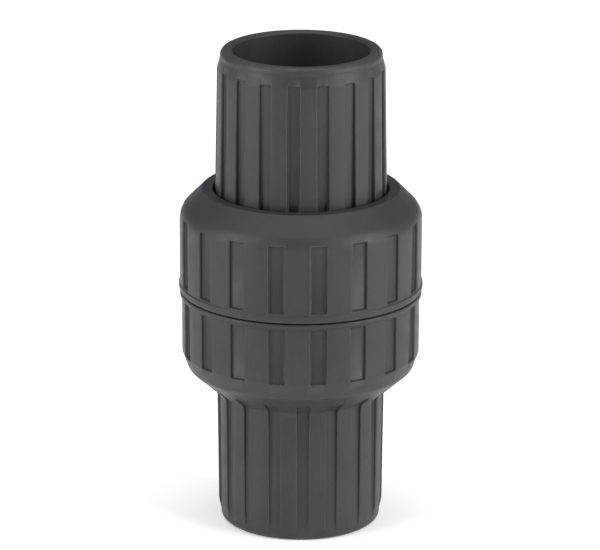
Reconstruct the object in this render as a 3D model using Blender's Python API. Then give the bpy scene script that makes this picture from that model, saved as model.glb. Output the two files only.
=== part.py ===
"""Spring-loaded check valve with a single union, for 50 mm solvent-cement pipe.

Water comes in at the lower socket, lifts a sprung poppet off its seat and leaves through the
union end above. Lengths are in metres, +Z is up, and the origin is the centre of the lower mouth.
"""

import math

import bmesh
import bpy

# Pipe and sockets
PIPE_RADIUS = 0.0250
MOUTH_EASE = 0.00015        # the mouth is this much wider than the pipe, in radius
ROOT_SQUEEZE = 0.00005      # the socket's inner end is this much tighter than the pipe
MOUTH_LEAD_IN = 0.0008      # chamfer that guides the pipe in
SOCKET_DEPTH = 0.031
SOCKET_WALL = 0.00445
STOP_WIDTH = 0.00395        # ledge that the pipe's end meets
STOP_CHAMFER = 0.0005

# Grip ribs, which stand between grooves
RIB_COUNT = 18
RIB_START = 0.003           # distance from a mouth at which the socket's ribs begin to rise
RIB_FULL = 0.007            # and at which they stand fully
LOWER_RIB_HEIGHT = 0.0009
UPPER_RIB_HEIGHT = 0.0011
LOWER_RIB_DRAFT = 0.0005    # what the ribs gain by the lower socket's root
UPPER_RIB_DRAFT = 0.0010
RIM_CHAMFER = 0.0012
SOCKET_GROOVE_WIDTH = 0.0042
SOCKET_FLOOR_RISE = 0.0001  # the grooves' floor over the plain band at the mouth
UPPER_GROOVE_START = 0.0065 # upper mouth to the blunt end of its socket's grooves
GRIP_GROOVE_WIDTH = 0.0060
GRIP_GROOVE_DEPTH = 0.0012
GRIP_GROOVE_TURN = 8.5      # degrees from -Y towards +X to a groove's centre
LOWER_GROOVE_TURN = 1.8
UPPER_GROOVE_TURN = 14.9

# Lengths along the axis
HUB_LENGTH = 0.0502         # lower mouth to the foot of the cone
CONE_HEIGHT = 0.0095
BEVEL_HEIGHT = 0.0061       # slope between the cone and the skirt
BEVEL_DEPTH = 0.0022
SKIRT_LENGTH = 0.0231       # top of the bevel to the parting line
NECK_LENGTH = 0.0226        # parting line to the neck's sealing face
END_LENGTH = 0.0683         # union end, sealing face to mouth
SEAT_RISE = 0.0078          # seat's crest over the foot of the cone
LIFT = 0.012                # poppet's travel

# Fits
FIT_GAP = 0.0003            # between pieces that seat on or slide in each other
THREAD_PLAY = 0.00035
NUT_HOLE_PLAY = 0.0006      # nut's hole round the union end's ribs
PARTING_GAP = 0.0003

# Body walls
SEAT_WIDTH = 0.0026
SEAT_CREST = 0.0025         # height of the seat's lip
SEAT_FLOOR = 0.0015         # flat floor outside the lip
FLOW_GAP = 0.007            # poppet's edge to the chamber's wall
CAGE_LEDGE = 0.001
FACE_WIDTH = 0.0044         # sealing face on the neck
NECK_CHAMFER = 0.0005
SKIRT_SETBACK = 0.0007      # skirt's ribs inside its top ring
SKIRT_RING_HEIGHT = 0.0021
SKIRT_GROOVE_FOOT = 0.0004  # plain foot under the skirt's grooves
RING_CHAMFER = 0.0006

# Thread
THREAD_PITCH = 0.004
THREAD_DEPTH = 0.0015
THREAD_ROOT_WIDTH = 0.0026
THREAD_CREST_WIDTH = 0.0013
THREAD_START = 0.0045       # parting line to the first turn
THREAD_RUNOUT = 0.0021      # last turn to the neck's sealing face
THREAD_SINK = 0.0012        # how far the ridge's foot lies inside the neck

# Nut
NUT_WALL = 0.0042
NUT_RING_PROUD = 0.00035
NUT_RING_HEIGHT = 0.0030
NUT_SHOULDER = 0.0083       # 45 degree shoulder
NUT_GROOVE_STOP = 0.0013    # grooves' end under the shoulder
NUT_ROOF = 0.0101           # thickness over the union end's collar
NUT_MOUTH_CHAMFER = 0.001

# Union end and its seal
COLLAR_THICKNESS = 0.0055
COLLAR_SETBACK = 0.0002     # collar inside the neck's thread root
END_FLARE_LENGTH = 0.0137
O_RING_OFFSET = 0.0019      # ring's centre outside the cage's seat
O_RING_HALF_WIDTH = 0.0012
O_RING_HALF_HEIGHT = 0.00105
O_RING_GROOVE_WIDTH = 0.0028
O_RING_GROOVE_DEPTH = 0.0024

# Poppet, seal and retainer
POPPET_OVERLAP = 0.004      # poppet's edge outside the bore
POPPET_HEAD = 0.0055
STEM_RADIUS = 0.0045
STEM_PROUD = 0.004          # stem over the cage's hub when shut
BOSS_STEP = 0.003           # boss outside the stem
SCREW_HOLE_DEPTH = 0.0080
SEAL_THICKNESS = 0.003
SEAL_BORE = 0.0140
RETAINER_SETBACK = 0.0016
RETAINER_FLANGE = 0.0033
WING_COUNT = 4
WING_LENGTH = 0.0112
WING_WIDTH = 0.0025
WING_INNER = 0.0095
WING_PLAY = 0.0005

# Screw and washer
SCREW_RADIUS = 0.0030
SCREW_HEAD_RADIUS = 0.0050
SCREW_HEAD_HEIGHT = 0.0036
HEX_RADIUS = 0.0025
HEX_DEPTH = 0.0020
WASHER_RADIUS = 0.0065
WASHER_THICKNESS = 0.0010

# Guide cage
CAGE_HEIGHT = 0.007
CAGE_RING_WIDTH = 0.0041
SPOKE_COUNT = 4
SPOKE_WIDTH = 0.0032
BUSH_WALL = 0.0010
BUSH_FLANGE = 0.0015
HUB_WALL = 0.0024
HUB_DROP = 0.014            # bush's foot below the neck's face
HUB_PROUD = 0.004           # hub above it
FLANGE_MARGIN = 0.0015      # flange outside the spring
FLANGE_DROP = 0.008         # spring's upper seat below the neck's face
FLANGE_THICKNESS = 0.003

# Spring
WIRE_RADIUS = 0.0007
SPRING_PLAY = 0.0011        # spring round the cage's hub
SPRING_TURNS = 6
SPRING_SIDES = 6

SEGMENTS = 36               # facets round the large turned pieces
SMALL_SEGMENTS = 24         # and round the stem, screw, hub and spring
OVERSHOOT = 0.001           # how far cutters run past what they cut

# Radii, worked outwards from the pipe
MOUTH_R = PIPE_RADIUS + MOUTH_EASE
SOCKET_ROOT_R = PIPE_RADIUS - ROOT_SQUEEZE
BORE_R = SOCKET_ROOT_R - STOP_WIDTH
BAND_R = MOUTH_R + SOCKET_WALL
LOWER_RIB_R = BAND_R + LOWER_RIB_HEIGHT
UPPER_RIB_R = BAND_R + UPPER_RIB_HEIGHT
LOWER_RIB_ROOT_R = LOWER_RIB_R + LOWER_RIB_DRAFT
UPPER_RIB_ROOT_R = UPPER_RIB_R + UPPER_RIB_DRAFT
POPPET_R = BORE_R + POPPET_OVERLAP
CHAMBER_R = POPPET_R + FLOW_GAP
CAGE_SEAT_R = CHAMBER_R + CAGE_LEDGE
NECK_R = CAGE_SEAT_R + FACE_WIDTH
CREST_R = NECK_R + THREAD_DEPTH
NUT_BORE_R = NECK_R + THREAD_PLAY
NUT_FLOOR_R = CREST_R + THREAD_PLAY + NUT_WALL
NUT_RIB_R = NUT_FLOOR_R + GRIP_GROOVE_DEPTH
NUT_HOLE_R = UPPER_RIB_ROOT_R + NUT_HOLE_PLAY
SKIRT_R = NUT_RIB_R - SKIRT_SETBACK
COLLAR_R = NECK_R - COLLAR_SETBACK
O_RING_R = CAGE_SEAT_R + O_RING_OFFSET
BUSH_BORE_R = STEM_RADIUS + FIT_GAP
BUSH_R = BUSH_BORE_R + BUSH_WALL
HUB_BORE_R = BUSH_R + FIT_GAP
HUB_R = HUB_BORE_R + HUB_WALL
BOSS_R = STEM_RADIUS + BOSS_STEP
SPRING_R = HUB_R + SPRING_PLAY + WIRE_RADIUS
FLANGE_R = SPRING_R + WIRE_RADIUS + FLANGE_MARGIN
SCREW_HOLE_R = SCREW_RADIUS + FIT_GAP

# Heights, worked upwards from the lower mouth
THREAD_TURNS = (NECK_LENGTH - THREAD_START - THREAD_RUNOUT) / THREAD_PITCH
CONE_TOP_Z = HUB_LENGTH + CONE_HEIGHT
SKIRT_Z = CONE_TOP_Z + BEVEL_HEIGHT
PARTING_Z = SKIRT_Z + SKIRT_LENGTH
NECK_Z = PARTING_Z + NECK_LENGTH
SEAT_Z = HUB_LENGTH + SEAT_RISE
CAGE_LEDGE_Z = NECK_Z - CAGE_HEIGHT - FIT_GAP
END_Z = NECK_Z + FIT_GAP
COLLAR_Z = END_Z + COLLAR_THICKNESS
TOP_Z = END_Z + END_LENGTH
NUT_Z = PARTING_Z + PARTING_GAP
NUT_ROOF_Z = COLLAR_Z + FIT_GAP
NUT_TOP_Z = NUT_ROOF_Z + NUT_ROOF
SEAL_Z = SEAT_Z + FIT_GAP
HEAD_Z = SEAL_Z + SEAL_THICKNESS + FIT_GAP
HEAD_TOP_Z = HEAD_Z + POPPET_HEAD
BUSH_Z = NECK_Z - HUB_DROP
HUB_Z = BUSH_Z + BUSH_FLANGE + FIT_GAP
HUB_TOP_Z = NECK_Z + HUB_PROUD
BOSS_Z = BUSH_Z - LIFT - FIT_GAP
RETAINER_Z = SEAL_Z - FIT_GAP - RETAINER_FLANGE
WASHER_Z = RETAINER_Z - FIT_GAP - WASHER_THICKNESS
SCREW_HEAD_TOP_Z = WASHER_Z - FIT_GAP
SCREW_Z = SCREW_HEAD_TOP_Z - SCREW_HEAD_HEIGHT
SPRING_FOOT_Z = HEAD_TOP_Z + FIT_GAP + WIRE_RADIUS
SPRING_HEAD_Z = NECK_Z - FLANGE_DROP - FIT_GAP - WIRE_RADIUS


def clear_scene():
    for obj in list(bpy.data.objects):
        bpy.data.objects.remove(obj)


def plastic(name, colour, roughness):
    """A Principled material for a moulded or rubber piece."""
    made = bpy.data.materials.new(name)
    made.use_nodes = True
    shader = made.node_tree.nodes["Principled BSDF"]
    shader.inputs["Base Color"].default_value = (*colour, 1)
    shader.inputs["Roughness"].default_value = roughness
    return made


def metal(name, colour, roughness):
    made = plastic(name, colour, roughness)
    made.node_tree.nodes["Principled BSDF"].inputs["Metallic"].default_value = 1
    return made


def finished(name, shape, material):
    """The bmesh as an object that is smooth except at its corners."""
    bmesh.ops.recalc_face_normals(shape, faces=shape.faces)
    mesh = bpy.data.meshes.new(name)
    shape.to_mesh(mesh)
    shape.free()
    mesh.shade_smooth()
    mesh.set_sharp_from_angle(angle=math.radians(30))
    mesh.materials.append(material)
    obj = bpy.data.objects.new(name, mesh)
    bpy.context.scene.collection.objects.link(obj)
    return obj


def turned(name, outline, material, segments=SEGMENTS):
    """A piece turned about Z. The outline's corners are (radius, height) pairs. It runs from axis
    to axis, or closes on itself where the piece has a hole."""
    shape = bmesh.new()
    corners = [shape.verts.new((radius, 0, height)) for radius, height in outline]
    holed = outline[0][0] > 0
    ends = corners[1:] + corners[:1] if holed else corners[1:]
    edges = [shape.edges.new(pair) for pair in zip(corners, ends)]
    bmesh.ops.spin(
        shape, geom=corners + edges, cent=(0, 0, 0), axis=(0, 0, 1),
        angle=math.tau, steps=segments, use_merge=True,
    )
    bmesh.ops.remove_doubles(shape, verts=shape.verts, dist=1e-6)
    bmesh.ops.dissolve_degenerate(shape, dist=1e-6, edges=shape.edges)
    return finished(name, shape, material)


def block(shape, angle, inner, outer, width, low, high):
    """Adds a block that lies along a radius, at this angle in degrees from -Y."""
    turn = math.radians(angle)
    out_x, out_y = math.sin(turn), -math.cos(turn)
    rings = []
    for height in (low, high):
        flat = [(inner, -width / 2), (outer, -width / 2), (outer, width / 2), (inner, width / 2)]
        rings.append([
            shape.verts.new((r * out_x - s * out_y, r * out_y + s * out_x, height))
            for r, s in flat
        ])
    shape.faces.new(rings[0][::-1])
    shape.faces.new(rings[1])
    for side in range(4):
        after = (side + 1) % 4
        shape.faces.new((rings[0][side], rings[0][after], rings[1][after], rings[1][side]))


def blocks_around(name, count, first_angle, inner, outer, width, low, high, material):
    """Equal blocks round the axis: grooves to cut, spokes or wings."""
    shape = bmesh.new()
    for index in range(count):
        block(shape, first_angle + index * 360 / count, inner, outer, width, low, high)
    return finished(name, shape, material)


def coil(name, section, turns, start_height, pitch_at, material, segments, fade=0.0):
    """A closed section of (radius, height) corners carried round a helix. pitch_at gives the rise
    since the start for a number of turns. Over the fade, in turns, each end shrinks to the
    section's smallest radius."""
    shape = bmesh.new()
    steps = round(turns * segments)
    foot = min(radius for radius, _ in section)
    rings = []
    for step in range(steps + 1):
        turned_by = step / segments
        swell = 1.0
        if fade:
            swell = min(1.0, turned_by / fade, (turns - turned_by) / fade)
        angle = turned_by * math.tau
        rise = start_height + pitch_at(turned_by)
        ring = []
        for radius, height in section:
            reach = foot + (radius - foot) * max(swell, 0.05)
            ring.append(shape.verts.new((
                reach * math.cos(angle), reach * math.sin(angle), rise + height,
            )))
        rings.append(ring)
    count = len(section)
    for near, far in zip(rings, rings[1:]):
        for side in range(count):
            after = (side + 1) % count
            shape.faces.new((near[side], near[after], far[after], far[side]))
    shape.faces.new(rings[0])
    shape.faces.new(rings[-1])
    return finished(name, shape, material)


def boolean(target, tool, operation):
    """Cuts the tool out of the target or joins it on, and hides the tool."""
    modifier = target.modifiers.new(tool.name, "BOOLEAN")
    modifier.operation = operation
    modifier.solver = "EXACT"
    modifier.object = tool
    tool.hide_render = True
    tool.display_type = "WIRE"


def socket_outside(rib_radius, root_radius, root_distance):
    """The ribbed outside of a socket, as (radius, distance from the mouth), mouth first."""
    return [
        (BAND_R - RIM_CHAMFER, 0),
        (BAND_R, RIM_CHAMFER),
        (BAND_R, RIB_START),
        (rib_radius, RIB_FULL),
        (root_radius, root_distance),
    ]


def socket_inside():
    """The socket's bore, as (radius, distance from the mouth), waterway first."""
    return [
        (BORE_R, SOCKET_DEPTH + STOP_CHAMFER),
        (BORE_R + STOP_CHAMFER, SOCKET_DEPTH),
        (SOCKET_ROOT_R, SOCKET_DEPTH),
        (MOUTH_R, MOUTH_LEAD_IN),
        (MOUTH_R + MOUTH_LEAD_IN, 0),
    ]


def thread_ridge(name, play, low, turns, material):
    """The trapezoidal thread, grown all round by the play. Its helix passes through the same
    place at the parting line's height plus THREAD_START whatever the play and the start."""
    root = NECK_R - THREAD_SINK
    crest = CREST_R + play
    section = [
        (root, -THREAD_ROOT_WIDTH / 2 - play),
        (crest, -THREAD_CREST_WIDTH / 2 - play),
        (crest, THREAD_CREST_WIDTH / 2 + play),
        (root, THREAD_ROOT_WIDTH / 2 + play),
    ]
    return coil(
        name, section, turns, low, lambda done: done * THREAD_PITCH, material, SEGMENTS,
        fade=0.0 if play else 0.15,
    )


def valve_body(material):
    outside = socket_outside(LOWER_RIB_R, LOWER_RIB_ROOT_R, HUB_LENGTH)
    skirt = [
        (SKIRT_R - BEVEL_DEPTH, CONE_TOP_Z),
        (SKIRT_R, SKIRT_Z),
        (SKIRT_R, PARTING_Z - SKIRT_RING_HEIGHT - RING_CHAMFER),
        (NUT_RIB_R, PARTING_Z - SKIRT_RING_HEIGHT),
        (NUT_RIB_R, PARTING_Z - RING_CHAMFER),
        (NUT_RIB_R - RING_CHAMFER, PARTING_Z),
    ]
    neck = [
        (NECK_R, PARTING_Z),
        (NECK_R, NECK_Z - NECK_CHAMFER),
        (NECK_R - NECK_CHAMFER, NECK_Z),
        (CAGE_SEAT_R, NECK_Z),
        (CAGE_SEAT_R, CAGE_LEDGE_Z),
        (CHAMBER_R, CAGE_LEDGE_Z),
    ]
    lip_foot = SEAT_Z - SEAT_CREST
    floor_r = BORE_R + SEAT_WIDTH + SEAT_FLOOR
    chamber = [
        (CHAMBER_R, lip_foot + CHAMBER_R - floor_r),
        (floor_r, lip_foot),
        (BORE_R + SEAT_WIDTH, lip_foot),
        (BORE_R + SEAT_WIDTH / 2, SEAT_Z),
        (BORE_R, SEAT_Z - SEAT_WIDTH / 2),
    ]
    body = turned("valve_body", outside + skirt + neck + chamber + socket_inside(), material)
    ridge = thread_ridge("thread_ridge", 0.0, PARTING_Z + THREAD_START, THREAD_TURNS, material)
    boolean(body, ridge, "UNION")
    boolean(body, blocks_around(
        "lower_socket_grooves", RIB_COUNT, LOWER_GROOVE_TURN, BAND_R + SOCKET_FLOOR_RISE,
        LOWER_RIB_ROOT_R + OVERSHOOT, SOCKET_GROOVE_WIDTH, -OVERSHOOT, HUB_LENGTH - OVERSHOOT, material,
    ), "DIFFERENCE")
    boolean(body, blocks_around(
        "skirt_grooves", RIB_COUNT, GRIP_GROOVE_TURN, SKIRT_R - GRIP_GROOVE_DEPTH,
        NUT_RIB_R + OVERSHOOT, GRIP_GROOVE_WIDTH, SKIRT_Z + SKIRT_GROOVE_FOOT,
        PARTING_Z - SKIRT_RING_HEIGHT - RING_CHAMFER / 2, material,
    ), "DIFFERENCE")
    return body


def union_nut(material):
    nut = turned("union_nut", [
        (NUT_BORE_R + NUT_MOUTH_CHAMFER, NUT_Z),
        (NUT_RIB_R + NUT_RING_PROUD - RING_CHAMFER, NUT_Z),
        (NUT_RIB_R + NUT_RING_PROUD, NUT_Z + RING_CHAMFER),
        (NUT_RIB_R + NUT_RING_PROUD, NUT_Z + NUT_RING_HEIGHT - NUT_RING_PROUD),
        (NUT_RIB_R, NUT_Z + NUT_RING_HEIGHT),
        (NUT_RIB_R, NUT_TOP_Z - NUT_SHOULDER),
        (NUT_RIB_R - NUT_SHOULDER, NUT_TOP_Z),
        (NUT_HOLE_R, NUT_TOP_Z),
        (NUT_HOLE_R, NUT_ROOF_Z),
        (NUT_BORE_R, NUT_ROOF_Z),
        (NUT_BORE_R, NUT_Z + NUT_MOUTH_CHAMFER),
    ], material)
    below = math.ceil((THREAD_START + OVERSHOOT) / THREAD_PITCH)
    boolean(nut, thread_ridge(
        "nut_thread", THREAD_PLAY, PARTING_Z + THREAD_START - below * THREAD_PITCH,
        below + THREAD_TURNS + 0.25, material,
    ), "DIFFERENCE")
    boolean(nut, blocks_around(
        "nut_grooves", RIB_COUNT, GRIP_GROOVE_TURN, NUT_FLOOR_R, NUT_RIB_R + OVERSHOOT,
        GRIP_GROOVE_WIDTH, NUT_Z + NUT_RING_HEIGHT + RING_CHAMFER / 2,
        NUT_TOP_Z - NUT_SHOULDER - NUT_GROOVE_STOP, material,
    ), "DIFFERENCE")
    return nut


def union_end(material):
    inside = [(radius, TOP_Z - distance) for radius, distance in reversed(socket_inside())]
    outside = [
        (radius, TOP_Z - distance)
        for radius, distance in reversed(
            socket_outside(UPPER_RIB_R, UPPER_RIB_ROOT_R, TOP_Z - COLLAR_Z)
        )
    ]
    end = turned("union_end", [
        (CHAMBER_R - CAGE_RING_WIDTH, END_Z),
        (COLLAR_R, END_Z),
        (COLLAR_R, COLLAR_Z),
        *outside,
        *inside,
        (BORE_R, END_Z + END_FLARE_LENGTH),
    ], material)
    groove = turned("o_ring_groove", [
        (O_RING_R - O_RING_GROOVE_WIDTH / 2, END_Z - OVERSHOOT),
        (O_RING_R + O_RING_GROOVE_WIDTH / 2, END_Z - OVERSHOOT),
        (O_RING_R + O_RING_GROOVE_WIDTH / 2, END_Z + O_RING_GROOVE_DEPTH),
        (O_RING_R - O_RING_GROOVE_WIDTH / 2, END_Z + O_RING_GROOVE_DEPTH),
    ], material)
    boolean(end, groove, "DIFFERENCE")
    boolean(end, blocks_around(
        "upper_socket_grooves", RIB_COUNT, UPPER_GROOVE_TURN, BAND_R + SOCKET_FLOOR_RISE,
        UPPER_RIB_ROOT_R + OVERSHOOT, SOCKET_GROOVE_WIDTH, COLLAR_Z + OVERSHOOT,
        TOP_Z - UPPER_GROOVE_START, material,
    ), "DIFFERENCE")
    return end


def union_o_ring(material):
    """The ring as the joint squeezes it: an oval section, an eighth of a turn to each side."""
    centre = NECK_Z + FIT_GAP + O_RING_HALF_HEIGHT
    sides = 8
    return turned("union_o_ring", [
        (
            O_RING_R + O_RING_HALF_WIDTH * math.cos((side + 0.5) * math.tau / sides),
            centre + O_RING_HALF_HEIGHT * math.sin((side + 0.5) * math.tau / sides),
        )
        for side in range(sides)
    ], material)


def guide_cage(material):
    outer = CAGE_SEAT_R - FIT_GAP
    inner = CHAMBER_R - CAGE_RING_WIDTH
    low = NECK_Z - CAGE_HEIGHT
    cage = turned("guide_cage", [(inner, low), (outer, low), (outer, NECK_Z), (inner, NECK_Z)],
                  material)
    spokes = blocks_around(
        "cage_spokes", SPOKE_COUNT, 360 / SPOKE_COUNT / 2, HUB_R - HUB_WALL / 2,
        inner + CAGE_RING_WIDTH / 2, SPOKE_WIDTH, low + FIT_GAP, NECK_Z - FIT_GAP, material,
    )
    flange = NECK_Z - FLANGE_DROP
    hub = turned("cage_hub", [
        (HUB_BORE_R, HUB_Z),
        (HUB_R, HUB_Z),
        (HUB_R, flange),
        (FLANGE_R, flange),
        (FLANGE_R, flange + FLANGE_THICKNESS),
        (HUB_R, flange + FLANGE_THICKNESS),
        (HUB_R, HUB_TOP_Z),
        (HUB_BORE_R, HUB_TOP_Z),
    ], material, SMALL_SEGMENTS)
    boolean(cage, spokes, "UNION")
    boolean(cage, hub, "UNION")
    return cage


def guide_bush(material):
    return turned("guide_bush", [
        (BUSH_BORE_R, BUSH_Z),
        (HUB_R, BUSH_Z),
        (HUB_R, BUSH_Z + BUSH_FLANGE),
        (BUSH_R, BUSH_Z + BUSH_FLANGE),
        (BUSH_R, HUB_TOP_Z),
        (BUSH_BORE_R, HUB_TOP_Z),
    ], material, SMALL_SEGMENTS)


def poppet(material):
    return turned("poppet", [
        (0, HEAD_Z + SCREW_HOLE_DEPTH),
        (SCREW_HOLE_R, HEAD_Z + SCREW_HOLE_DEPTH),
        (SCREW_HOLE_R, HEAD_Z),
        (POPPET_R - OVERSHOOT, HEAD_Z),
        (POPPET_R, HEAD_Z + OVERSHOOT),
        (POPPET_R, HEAD_TOP_Z - POPPET_HEAD / 2),
        (POPPET_R - POPPET_HEAD, HEAD_TOP_Z),
        (BOSS_R, HEAD_TOP_Z),
        (BOSS_R, BOSS_Z),
        (STEM_RADIUS, BOSS_Z),
        (STEM_RADIUS, HUB_TOP_Z + STEM_PROUD - OVERSHOOT),
        (STEM_RADIUS - OVERSHOOT, HUB_TOP_Z + STEM_PROUD),
        (0, HUB_TOP_Z + STEM_PROUD),
    ], material, SMALL_SEGMENTS)


def poppet_seal(material):
    outer = POPPET_R - FIT_GAP
    return turned("poppet_seal", [
        (SEAL_BORE, SEAL_Z),
        (outer, SEAL_Z),
        (outer, SEAL_Z + SEAL_THICKNESS),
        (SEAL_BORE, SEAL_Z + SEAL_THICKNESS),
    ], material)


def seal_retainer(material):
    top = SEAL_Z - FIT_GAP
    retainer = turned("seal_retainer", [
        (SCREW_HOLE_R, RETAINER_Z),
        (BORE_R - RETAINER_SETBACK - RETAINER_FLANGE / 2, RETAINER_Z),
        (BORE_R - RETAINER_SETBACK, RETAINER_Z + RETAINER_FLANGE / 2),
        (BORE_R - RETAINER_SETBACK, top),
        (SEAL_BORE - FIT_GAP, top),
        (SEAL_BORE - FIT_GAP, HEAD_Z - FIT_GAP),
        (SCREW_HOLE_R, HEAD_Z - FIT_GAP),
    ], material, SMALL_SEGMENTS)
    wings = blocks_around(
        "retainer_wings", WING_COUNT, 0, WING_INNER, BORE_R - WING_PLAY, WING_WIDTH,
        RETAINER_Z - WING_LENGTH, RETAINER_Z + RETAINER_FLANGE / 2, material,
    )
    boolean(retainer, wings, "UNION")
    return retainer


def retainer_screw(material):
    screw = turned("retainer_screw", [
        (0, SCREW_Z),
        (SCREW_HEAD_RADIUS - OVERSHOOT / 2, SCREW_Z),
        (SCREW_HEAD_RADIUS, SCREW_Z + OVERSHOOT / 2),
        (SCREW_HEAD_RADIUS, SCREW_HEAD_TOP_Z),
        (SCREW_RADIUS, SCREW_HEAD_TOP_Z),
        (SCREW_RADIUS, HEAD_Z + SCREW_HOLE_DEPTH - OVERSHOOT),
        (0, HEAD_Z + SCREW_HOLE_DEPTH - OVERSHOOT),
    ], material, SMALL_SEGMENTS)
    recess = turned("hex_recess", [
        (0, SCREW_Z - OVERSHOOT),
        (HEX_RADIUS, SCREW_Z - OVERSHOOT),
        (HEX_RADIUS, SCREW_Z + HEX_DEPTH),
        (0, SCREW_Z + HEX_DEPTH),
    ], material, 6)
    boolean(screw, recess, "DIFFERENCE")
    return screw


def screw_washer(material):
    return turned("screw_washer", [
        (SCREW_HOLE_R, WASHER_Z),
        (WASHER_RADIUS, WASHER_Z),
        (WASHER_RADIUS, WASHER_Z + WASHER_THICKNESS),
        (SCREW_HOLE_R, WASHER_Z + WASHER_THICKNESS),
    ], material, SMALL_SEGMENTS)


def spring(material):
    """A compression spring with one closed turn at each end and even turns between."""
    wire = 2 * WIRE_RADIUS
    open_rise = SPRING_HEAD_Z - SPRING_FOOT_Z - 2 * wire
    section = [
        (
            SPRING_R + WIRE_RADIUS * math.cos(side * math.tau / SPRING_SIDES),
            WIRE_RADIUS * math.sin(side * math.tau / SPRING_SIDES),
        )
        for side in range(SPRING_SIDES)
    ]

    def rise(done):
        closed_rise = 1.15 * wire
        even = (open_rise + 2 * wire - 2 * closed_rise) / SPRING_TURNS
        if done < 1:
            return closed_rise * done
        if done < 1 + SPRING_TURNS:
            return closed_rise + even * (done - 1)
        return closed_rise + even * SPRING_TURNS + closed_rise * (done - 1 - SPRING_TURNS)

    return coil("spring", section, SPRING_TURNS + 2, SPRING_FOOT_Z, rise, material,
                SMALL_SEGMENTS)


def build():
    clear_scene()
    grey = plastic("grey_pvc", (0.045, 0.044, 0.044), 0.45)
    inner_grey = plastic("inner_pvc", (0.055, 0.055, 0.058), 0.45)
    rubber = plastic("epdm_rubber", (0.015, 0.015, 0.016), 0.7)
    slippery = plastic("ptfe", (0.75, 0.75, 0.73), 0.35)
    steel = metal("stainless_steel", (0.56, 0.55, 0.53), 0.3)
    valve_body(grey)
    union_nut(grey)
    union_end(grey)
    union_o_ring(rubber)
    guide_cage(inner_grey)
    guide_bush(slippery)
    poppet(inner_grey)
    poppet_seal(rubber)
    seal_retainer(inner_grey)
    retainer_screw(steel)
    screw_washer(steel)
    spring(steel)


build()
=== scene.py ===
"""Looks of a ribbed PVC check valve with a union nut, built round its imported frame.

Every new piece is an outline carried round the flow axis, a section carried along a helix, or a
section carried along a radius. Lengths are in metres. Turns are measured from the front, -Y,
towards +X.
"""

import math

import bpy
import numpy as np
from mathutils import Matrix, Vector


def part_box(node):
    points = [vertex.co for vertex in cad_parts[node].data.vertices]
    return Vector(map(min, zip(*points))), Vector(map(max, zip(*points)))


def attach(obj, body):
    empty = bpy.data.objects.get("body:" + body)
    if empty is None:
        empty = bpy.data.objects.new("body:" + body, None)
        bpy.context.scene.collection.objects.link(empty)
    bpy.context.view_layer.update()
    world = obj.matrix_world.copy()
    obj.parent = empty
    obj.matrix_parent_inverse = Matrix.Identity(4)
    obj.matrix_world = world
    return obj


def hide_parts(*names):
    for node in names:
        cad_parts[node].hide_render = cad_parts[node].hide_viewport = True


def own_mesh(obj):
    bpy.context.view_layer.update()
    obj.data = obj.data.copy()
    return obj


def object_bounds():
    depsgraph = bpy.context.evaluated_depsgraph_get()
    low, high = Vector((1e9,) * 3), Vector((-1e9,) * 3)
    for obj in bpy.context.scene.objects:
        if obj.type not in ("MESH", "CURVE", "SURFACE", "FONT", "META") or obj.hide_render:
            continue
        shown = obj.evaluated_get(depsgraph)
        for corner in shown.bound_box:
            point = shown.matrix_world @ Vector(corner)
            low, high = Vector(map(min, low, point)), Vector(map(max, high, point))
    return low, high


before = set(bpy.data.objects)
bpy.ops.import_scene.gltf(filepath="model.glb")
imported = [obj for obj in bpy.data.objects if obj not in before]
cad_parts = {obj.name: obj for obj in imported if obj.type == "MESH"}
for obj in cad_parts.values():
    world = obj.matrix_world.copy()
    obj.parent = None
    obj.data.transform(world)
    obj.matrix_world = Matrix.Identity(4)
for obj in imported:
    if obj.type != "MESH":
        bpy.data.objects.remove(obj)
cad_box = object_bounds()


def heights(node):
    """The node's lowest and highest z."""
    low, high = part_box(node)
    return low.z, high.z


def reach(node):
    """The node's largest radius."""
    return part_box(node)[1].x


# Heights and radii that the frame gives
BODY_FOOT, NECK_TOP = heights("valve_body")
NUT_FOOT, NUT_TOP = heights("union_nut")
END_FOOT, END_TOP = heights("union_end")
RING_FOOT, RING_TOP = heights("union_o_ring")
HUB_FOOT, HUB_TOP = heights("guide_cage")
BUSH_FOOT, BUSH_TOP = heights("guide_bush")
HEAD_FOOT, STEM_TOP = heights("poppet")
SEAL_FOOT, SEAL_TOP = heights("poppet_seal")
WING_FOOT, COLLAR_TOP = heights("seal_retainer")
SCREW_FOOT, SCREW_TIP = heights("retainer_screw")
WASHER_FOOT, WASHER_TOP = heights("screw_washer")
SPRING_FOOT, SPRING_TOP = heights("spring")

SKIRT_RING_R = reach("valve_body")
NUT_RING_R = reach("union_nut")
END_COLLAR_R = reach("union_end")
CAGE_R = reach("guide_cage")
HUB_R = reach("guide_bush")
HEAD_R = reach("poppet")
SEAL_R = reach("poppet_seal")
WING_R = reach("seal_retainer")
SCREW_HEAD_R = reach("retainer_screw")
WASHER_R = reach("screw_washer")
SPRING_R = reach("spring")

# Radii of fillets
SHARP = 0.0001
FINE = 0.0002
CRISP = 0.0003
EASED = 0.0004
MILD = 0.0005
SOFT = 0.0006
PLUMP = 0.0007
FULL = 0.0008
ROUND = 0.0012
MOUTH_FILLET = 0.0021
RIB_START_FILLET = 0.004
RIB_FULL_FILLET = 0.005
CONE_FILLET = 0.003
CHAMBER_FILLET = 0.003
NUT_SHOULDER_FILLET = 0.008
FLARE_FILLET = 0.006
HEAD_FILLET = 0.002

# Columns round the axis of pieces with no grooves
RING_COLUMNS = 180
WIDE_COLUMNS = 144
MIDDLE_COLUMNS = 120
SMALL_COLUMNS = 96

# Fits
GAP = 0.0003                # between pieces that seat on or slide in each other
THREAD_PLAY = 0.00035
PARTING = 0.0003            # nut's foot over the body's skirt

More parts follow.
